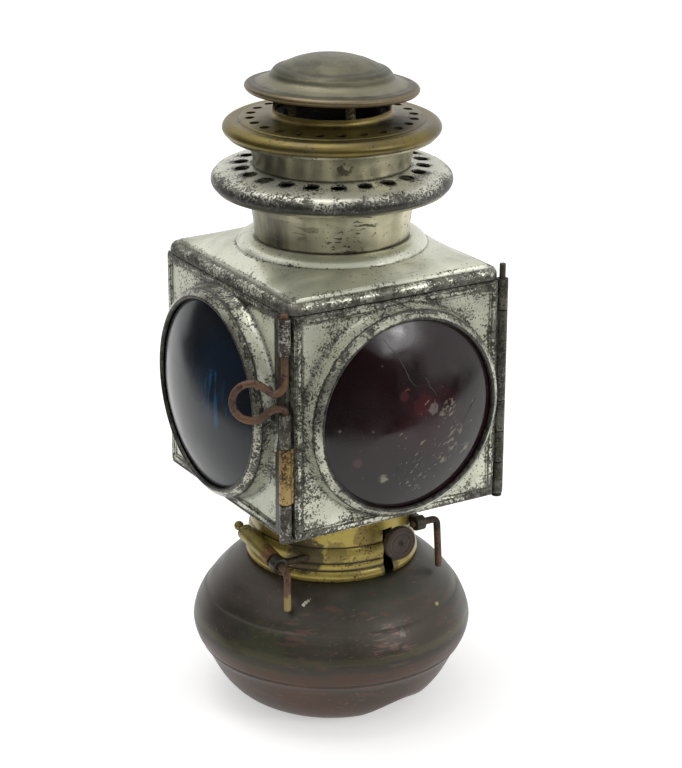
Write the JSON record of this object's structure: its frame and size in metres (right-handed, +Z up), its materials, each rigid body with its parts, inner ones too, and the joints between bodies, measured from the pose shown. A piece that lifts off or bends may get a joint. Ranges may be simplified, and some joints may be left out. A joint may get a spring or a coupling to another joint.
{
  "type": "bullseye lantern",
  "caption": "Square oil lantern with coloured bullseye lenses, a hinged front door, a vented chimney and cap, and a round lift-off fount.",
  "frame": {"origin": "centre of the fount's flat base", "axes": "+Z up; the door with the red lens faces -Y; the blue lens faces -X; the mounting plate is on the +Y side"},
  "size_m": [0.1258, 0.1274, 0.2589],
  "materials": {
    "nickel_plate": "worn nickel plate on brass, pale and flaking",
    "dull_nickel": "dull nickel plate on brass, darkened",
    "yellow_brass": "bare yellow brass, tarnished",
    "aged_brass": "aged brass with a thin olive tarnish",
    "fount_skin": "dark copper brown patina over brass",
    "dark_steel": "dark oiled steel",
    "rusty_wire": "rust brown spring wire",
    "red_glass": "deep red glass, nearly black unlit",
    "blue_glass": "deep blue glass, nearly black unlit",
    "clear_glass": "clear glass",
    "sooted_metal": "sooted sheet",
    "reflector_silver": "silvered reflector",
    "cotton_wick": "woven cotton"
  },
  "bodies": {
    "fount": {"fount_bowl": "fount_skin", "fount_top": "fount_skin", "fount_neck": "aged_brass", "burner_base": "yellow_brass", "burner_gallery": "yellow_brass", "burner_cone": "aged_brass", "wick_tube": "aged_brass"},
    "lamp": {"fount_collar": "yellow_brass", "floor_pan": "dull_nickel", "left_panel": "nickel_plate", "right_panel": "nickel_plate", "back_panel": "nickel_plate", "roof_pan": "nickel_plate", "lower_neck": "nickel_plate", "lower_vent_plate": "nickel_plate", "upper_drum": "nickel_plate", "upper_vent_plate": "aged_brass", "inner_flue": "sooted_metal", "cap": "dull_nickel", "cap_post_1": "aged_brass", "cap_post_2": "aged_brass", "cap_post_3": "aged_brass", "cap_post_4": "aged_brass", "cap_post_5": "aged_brass", "cap_post_6": "aged_brass", "lens_blue": "blue_glass", "bezel_blue": "dull_nickel", "retainer_blue": "dark_steel", "lens_clear": "clear_glass", "bezel_clear": "dull_nickel", "retainer_clear": "dark_steel", "hinge_leaf_body": "nickel_plate", "hinge_pin": "dark_steel", "catch_leaf": "dull_nickel", "left_catch_sleeve": "yellow_brass", "left_catch_bracket": "dark_steel", "right_catch_bracket": "dark_steel", "mount_plate": "dark_steel", "mount_stud_left": "dark_steel", "mount_stud_right": "dark_steel", "reflector": "reflector_silver"},
    "door": {"door_panel": "nickel_plate", "hinge_leaf_door": "dull_nickel", "lens_red": "red_glass", "bezel_red": "dull_nickel", "retainer_red": "dark_steel", "door_catch_barrel": "yellow_brass"},
    "latch": {"latch_pin": "rusty_wire"},
    "wick_drive": {"wick_shaft": "dark_steel", "star_wheel": "yellow_brass", "wick_knob": "rusty_wire"},
    "wick": {"wick": "cotton_wick"},
    "left_catch": {"left_catch_wire": "rusty_wire", "left_catch_knob": "aged_brass"},
    "right_catch": {"right_catch_wire": "rusty_wire"}
  },
  "joints": [
    {"name": "lamp_lift", "type": "slide", "parent": "fount", "child": "lamp", "axis": [0, 0, 1], "range_m": [0, 0.08]},
    {"name": "door_swing", "type": "hinge", "parent": "lamp", "child": "door", "pos_m": [0.0472, -0.046, 0.134], "axis": [0, 0, 1], "range_deg": [0, 110]},
    {"name": "latch_lift", "type": "slide", "parent": "lamp", "child": "latch", "axis": [0, 0, 1], "range_m": [0, 0.011]},
    {"name": "wick_turn", "type": "hinge", "parent": "fount", "child": "wick_drive", "pos_m": [0.0062, 0, 0.0755], "axis": [0, 1, 0], "range_deg": [-70, 70]},
    {"name": "wick_feed", "type": "slide", "parent": "fount", "child": "wick", "axis": [0, 0, 1], "range_m": [-0.0063, 0.0063]},
    {"name": "left_catch_swing", "type": "hinge", "parent": "lamp", "child": "left_catch", "pos_m": [-0.0369, 0, 0.0723], "axis": [0, 0.9903, 0.1392], "range_deg": [0, 70]},
    {"name": "right_catch_swing", "type": "hinge", "parent": "lamp", "child": "right_catch", "pos_m": [0.0225, -0.0288, 0.0758], "axis": [-1, 0, 0], "range_deg": [0, 70]}
  ],
  "couplings": [
    {"joint": "wick_feed", "follows": "wick_turn", "m_per_rad": 0.005}
  ]
}
